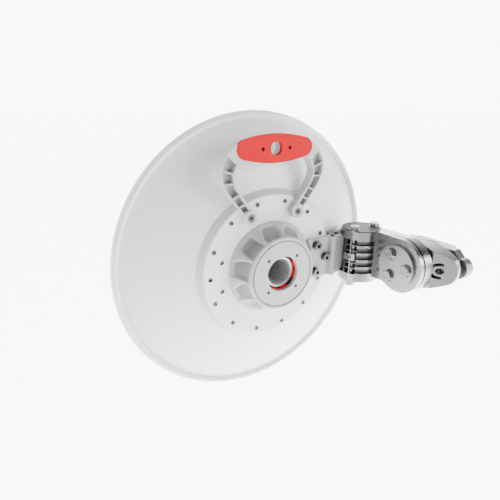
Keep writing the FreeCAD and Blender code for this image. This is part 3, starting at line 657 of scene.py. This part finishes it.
# %% [markdown]
# Every face round the barrel that lies deeper than the ribs' tops gets a second, darker and duller finish:
# painted shade in the grooves between the ribs.

# %% Painted shade in the barrel's grooves
barrel = made["finned_arm"]
cover_low, cover_high = node_box("barrel_cover")
barrel_middle = (cover_low + cover_high) / 2
RIB_TOP_R = 28.9
GROOVE_FLOOR_R = 25.0
barrel.data.materials.append(GROOVE)
shaded_groove_faces = 0
for face in barrel.data.polygons:
    offset = face.center / MM - barrel_middle
    # Faces in the grooves get the painted shade.
    if GROOVE_FLOOR_R < offset.xy.length < RIB_TOP_R and abs(face.center.z / MM) < 26:
        face.material_index = 1
        shaded_groove_faces += 1
print(shaded_groove_faces, "groove faces")

# %% [markdown]
# Bolts and screws repeat, so one Geometry Nodes tree makes the hexagon bolts and the plate's small screws. It
# puts a template on every point of a small mesh, gives each copy its own turn about the bolt's axis, as a real
# spanner would leave it, joins the copies and sets the finish. The sizes come in as named inputs.


# %% The tree that repeats a template
def repeat_tree():
    tree = bpy.data.node_groups.new("repeat_on_points", "GeometryNodeTree")
    sockets = (("Points", "Geometry"), ("Template", "Object"), ("Size", "Float"), ("Axis", "Vector"),
               ("Loosest turn", "Float"), ("Seed", "Int"), ("Finish", "Material"))
    for words, kind in sockets:
        tree.interface.new_socket(words, in_out="INPUT", socket_type="NodeSocket" + kind)
    tree.interface.new_socket("Hardware", in_out="OUTPUT", socket_type="NodeSocketGeometry")
    names = {"given": "NodeGroupInput", "template": "GeometryNodeObjectInfo", "turn": "FunctionNodeRandomValue",
             "rotation": "FunctionNodeAxisAngleToRotation", "copies": "GeometryNodeInstanceOnPoints",
             "joined": "GeometryNodeRealizeInstances", "finished": "GeometryNodeSetMaterial",
             "result": "NodeGroupOutput"}
    made_nodes = {name: tree.nodes.new(kind) for name, kind in names.items()}
    made_nodes["turn"].data_type = "FLOAT"
    given = made_nodes["given"].outputs
    turn_inputs = [socket for socket in made_nodes["turn"].inputs if socket.enabled]
    turn_output = next(socket for socket in made_nodes["turn"].outputs if socket.enabled)
    turn_inputs[0].default_value = 0.0
    wires = (
        (given["Template"], made_nodes["template"].inputs["Object"]),
        (given["Loosest turn"], turn_inputs[1]),
        (given["Seed"], made_nodes["turn"].inputs["Seed"]),
        (given["Axis"], made_nodes["rotation"].inputs["Axis"]),
        (turn_output, made_nodes["rotation"].inputs["Angle"]),
        (given["Points"], made_nodes["copies"].inputs["Points"]),
        (made_nodes["template"].outputs["Geometry"], made_nodes["copies"].inputs["Instance"]),
        (made_nodes["rotation"].outputs["Rotation"], made_nodes["copies"].inputs["Rotation"]),
        (given["Size"], made_nodes["copies"].inputs["Scale"]),
        (made_nodes["copies"].outputs["Instances"], made_nodes["joined"].inputs["Geometry"]),
        (made_nodes["joined"].outputs["Geometry"], made_nodes["finished"].inputs["Geometry"]),
        (given["Finish"], made_nodes["finished"].inputs["Material"]),
        (made_nodes["finished"].outputs["Geometry"], made_nodes["result"].inputs[0]),
    )
    for source, target in wires:
        tree.links.new(source, target)
    return tree


REPEAT = repeat_tree()
print("repeat tree:", len(REPEAT.nodes), "nodes")

# %% [markdown]
# A template is a stack of rings joined from the tip to the top. A ring can be round or six-sided, and the
# smaller of the two radii counts, so the corners of a hexagon head are chamfered for free.

# %% Templates for bolts and screws
def six_sided(angle, flats):
    sector = math.pi / 3
    return flats / 2 / math.cos((angle + sector / 2) % sector - sector / 2)


def ring_stack(name, rings, axis, sides=48):
    """Joins rings of (height, round radius, flats) in mm, from the tip upwards; None leaves a limit out."""
    solid = bmesh.new()
    loops = []
    for height, limit, flats in rings:
        loop = []
        for step in range(sides):
            angle = 2 * math.pi * step / sides
            radius = min(limit or math.inf, six_sided(angle, flats) if flats else math.inf)
            loop.append(solid.verts.new(Vector((radius * math.cos(angle), radius * math.sin(angle), height)) * MM))
        loops.append(loop)
    for lower, upper in zip(loops, loops[1:]):
        for step in range(sides):
            following = (step + 1) % sides
            solid.faces.new((lower[step], lower[following], upper[following], upper[step]))
    solid.faces.new(loops[0][::-1])
    solid.faces.new(loops[-1])
    turn = Vector((0, 0, 1)).rotation_difference(Vector(axis)).to_matrix().to_4x4()
    bmesh.ops.transform(solid, matrix=turn, verts=solid.verts)
    return keep(name, solid, [], 30)


def hex_bolt(name, head, shank, axis, flats=13.0, shank_radius=4.0):
    """A bolt with its seat at height nought."""
    rings = [(-shank, shank_radius - 0.6, None), (0.6 - shank, shank_radius, None), (0, shank_radius, None),
             (0, flats * 0.5, None), (0.35, None, flats), (head - 1.1, None, flats),
             (head, flats * 0.475, flats), (head, flats * 0.36, None), (head - 0.35, flats * 0.33, None)]
    return ring_stack(name, rings, axis)


def socket_screw(name, head, radius, shank, shank_radius, key, axis):
    """A domed screw with a six-sided socket."""
    rings = [(-shank, shank_radius - 0.4, None), (0.4 - shank, shank_radius, None), (0, shank_radius, None),
             (0, radius, None), (head * 0.35, radius, None), (head * 0.8, radius * 0.88, None),
             (head, radius * 0.66, None), (head, None, key), (head * 0.1, None, key)]
    return ring_stack(name, rings, axis, 24)


print("templates ready")

# %% [markdown]
# A modifier on a mesh of points runs the tree. Its inputs are set by their sockets' identifiers before the
# first look at the result, which is kept as one plain mesh for each body.


# %% Running the tree
def repeat_piece(node, name, template, points, axis, seed, material, body):
    """Runs the tree over the points and keeps its result as one plain mesh in place of a node."""
    mesh = bpy.data.meshes.new(name)
    mesh.from_pydata([Vector(point) * MM for point in points], [], [])
    holder = bpy.data.objects.new(name, mesh)
    scene_objects = bpy.context.scene.collection.objects
    scene_objects.link(holder)
    scene_objects.link(template)
    tree_modifier = holder.modifiers.new("repeat", "NODES")
    tree_modifier.node_group = REPEAT
    given = {"Template": template, "Size": 1.0, "Axis": axis, "Loosest turn": math.pi / 3, "Seed": seed,
             "Finish": material}
    for item in REPEAT.interface.items_tree:
        if item.name in given:
            tree_modifier[item.identifier] = given[item.name]
    plain = bpy.data.meshes.new_from_object(holder.evaluated_get(bpy.context.evaluated_depsgraph_get()))
    holder.modifiers.clear()
    bpy.data.objects.remove(holder)
    bpy.data.objects.remove(template)
    piece = bpy.data.objects.new(name, plain)
    place_piece(piece, body)
    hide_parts(node)
    print(name, "x", len(points), "with", len(plain.polygons), "faces")


print("repeat helper ready")

# %% [markdown]
# The hexagon bolts come in three sets. The disc's heads face away from the clamp's pole, the jaw's heads face
# the other way, and the barrel's stand up.

# %% Hexagon bolts
HEAD = 5.3
BOLT_SETS = (("elevation_bolts", "disc_bolts", (-1, 0, 0), "pole_clamp", 3),
             ("clamp_bolts", "jaw_bolts", (1, 0, 0), "loose_jaw", 5),
             ("azimuth_bolts", "barrel_bolts", (0, 0, 1), "arm", 8))
for node, name, axis, body, seed in BOLT_SETS:
    along = max(range(3), key=lambda side: abs(axis[side]))
    points = []
    for low, high in island_boxes(node):
        seat = (low + high) / 2
        seat[along] = high[along] - HEAD if axis[along] > 0 else low[along] + HEAD
        points.append(seat)
        shank = high[along] - low[along] - HEAD
    repeat_piece(node, name, hex_bolt(name + "_template", HEAD, shank, axis), points, axis, seed, PLATED, body)

# %% [markdown]
# The twelve small screws round the plate have a low dome and a six-sided socket. Their seats were cut above.

# %% Ring screws
screw_boxes = island_boxes("ring_screws")
low, high = screw_boxes[0]
screw_radius = (high.x - low.x) / 2
SCREW_HEAD = 1.9
screw_points = [((low.x + high.x) / 2, low.y + SCREW_HEAD, (low.z + high.z) / 2) for low, high in screw_boxes]
screw = socket_screw("ring_screw_template", SCREW_HEAD, screw_radius, high.y - low.y - SCREW_HEAD, 1.6, 2.6,
                     (0, -1, 0))
repeat_piece("ring_screws", "plate_screws", screw, screw_points, (0, -1, 0), 12, SCREW, "antenna")

# %% [markdown]
# The four catches are small coral-red mouldings with a ramp either side of a notch. Their red is lighter
# than the grip's: painted light that makes up for the shade inside the port. They keep their shape from the
# frame and only need soft edges.

# %% Sprung catches
for side in ("right", "top", "left", "bottom"):
    softened("lock_" + side, "catch_" + side, [CATCH_RED_WITH_PAINTED_LIGHT], 0.5, "lock_" + side)

# %% [markdown]
# Everything else in the frame is round or small enough to stay as it is. It only needs its own finish, so
# each node's material slots are filled from a short list.

# %% Finishes for the nodes that stay
STAY = {
    "elevation_disc": DISC, "barrel_tab": CAST, "lock_carrier": CARRIER_GREY, "wave_guide": GUIDE,
    "feed_tube": GUIDE, "feed_screws": PLATED,
    "feed_cone": CAP_WHITE, "feed_seal": RUBBER, "sub_reflector": GUIDE, "grip_screws": DARK,
    "azimuth_nuts": PLATED, "bracket_washers": SCREW, "azimuth_drum": DRUM, "drum_neck": DRUM,
    "azimuth_washers": PLATED, "azimuth_pivot": PLATED, "barrel_cover": DARK,
    "elevation_washers": PLATED, "friction_washer": CARRIER_GREY, "clamp_washers": PLATED,
}
for node, material in STAY.items():
    node_object = frame["nodes"][node]
    for material_slot in node_object.material_slots:
        material_slot.material = material
print(len(STAY), "nodes keep their shape")

# %% [markdown]
# The floor is pale and glows, so that the ground behind the dish is nearly white. The glow rises from the near
# side to the far side, in the floor's own coordinates. A near side that stays dark lets the metal parts
# reflect something dark, without which they would look like white plastic.

# %% The floor
FLOOR_Z = -0.46
floor_mesh = bmesh.new()
bmesh.ops.create_grid(floor_mesh, x_segments=1, y_segments=1, size=60)
floor_finish = Finish("studio_floor", (0.80, 0.80, 0.80), 0.9, emission_strength=8.0)
towards_back = floor_finish.node("ShaderNodeVectorMath", {"operation": "DOT_PRODUCT"},
                                     {0: floor_finish.place, 1: (0.506, 0.862, 0)}, out=1)
glow = floor_finish.node("ShaderNodeMapRange", None, {"Value": towards_back, "From Min": -0.9,
                                                      "From Max": 0.05, "To Min": 0.04, "To Max": 1.0})
floor_finish.feed("Emission Color", floor_finish.blend(glow, (0, 0, 0, 1), (1, 1, 1, 1)))
floor = keep("floor", floor_mesh, [floor_finish.material])
floor.data.transform(Matrix.Translation((0, 0, FLOOR_Z)))
bpy.context.scene.collection.objects.link(floor)
print("floor at", FLOOR_Z, "m")

# %% [markdown]
# The surround is bright only ahead and low, where it meets the far edge of the floor. It is dim overhead and
# behind, which keeps the shadows in the pockets and gives the metal its dark bands.

# %% The surround
world = bpy.data.worlds.new("studio")
world.use_nodes = True
sky = world.node_tree
direction = sky.nodes.new("ShaderNodeTexCoord")
parts = sky.nodes.new("ShaderNodeSeparateXYZ")
sky.links.new(direction.outputs["Generated"], parts.inputs[0])
ahead = sky.nodes.new("ShaderNodeMapRange")
for words, number in (("From Min", -0.35), ("From Max", 0.30), ("To Min", 0.14), ("To Max", 9.6)):
    ahead.inputs[words].default_value = number
sky.links.new(parts.outputs["Y"], ahead.inputs["Value"])
overhead = sky.nodes.new("ShaderNodeMapRange")
for words, number in (("From Min", 0.24), ("From Max", 0.5), ("To Min", 1.0), ("To Max", 0.16)):
    overhead.inputs[words].default_value = number
sky.links.new(parts.outputs["Z"], overhead.inputs["Value"])
glow_sum = sky.nodes.new("ShaderNodeMath")
glow_sum.operation = "MULTIPLY"
sky.links.new(ahead.outputs["Result"], glow_sum.inputs[0])
sky.links.new(overhead.outputs["Result"], glow_sum.inputs[1])
sky.links.new(glow_sum.outputs[0], sky.nodes["Background"].inputs["Strength"])
sky.nodes["Background"].inputs["Color"].default_value = (1, 1, 1, 1)
bpy.context.scene.world = world
print("surround ready")

# %% [markdown]
# Three large soft lights shape the back of the dish: a strong key from the right, a fill from the left, and a
# weak one from above for the tops of the barrel and the arm.


# %% The lights
def soft_light(name, place, aim, size, power):
    light_data = bpy.data.lights.new(name, "AREA")
    light_data.shape = "DISK"
    light_data.size = size
    light_data.energy = power
    light = bpy.data.objects.new(name, light_data)
    light.location = place
    light.rotation_euler = (Vector(aim) - Vector(place)).to_track_quat("-Z", "Y").to_euler()
    bpy.context.scene.collection.objects.link(light)


soft_light("key", (1.5, -1.7, 0.6), (0, 0, 0), 1.0, 50)
soft_light("left", (-1.9, -0.9, 0.4), (0, 0, 0), 0.7, 10)
soft_light("top", (0.3, -0.1, 1.7), (0.1, 0, 0), 0.8, 9)

print("three lights")

# %% [markdown]
# The camera stands behind the dish, to its left and a little above. Two angles give the line along which it
# looks.

# %% The camera
EYE = Vector((-290.4, -409.1, 209.7)) * MM
AZIMUTH = math.radians(-30.43)
ELEVATION = math.radians(19.43)
back = Vector((math.sin(AZIMUTH) * math.cos(ELEVATION), -math.cos(AZIMUTH) * math.cos(ELEVATION),
               math.sin(ELEVATION)))
camera_data = bpy.data.cameras.new("camera")
camera_data.sensor_width = 36
camera_data.lens = 29.74
camera = bpy.data.objects.new("camera", camera_data)
camera.location = EYE
camera.rotation_euler = back.to_track_quat("Z", "Y").to_euler()
bpy.context.scene.collection.objects.link(camera)
bpy.context.scene.camera = camera
print("camera at", [round(part, 3) for part in EYE])
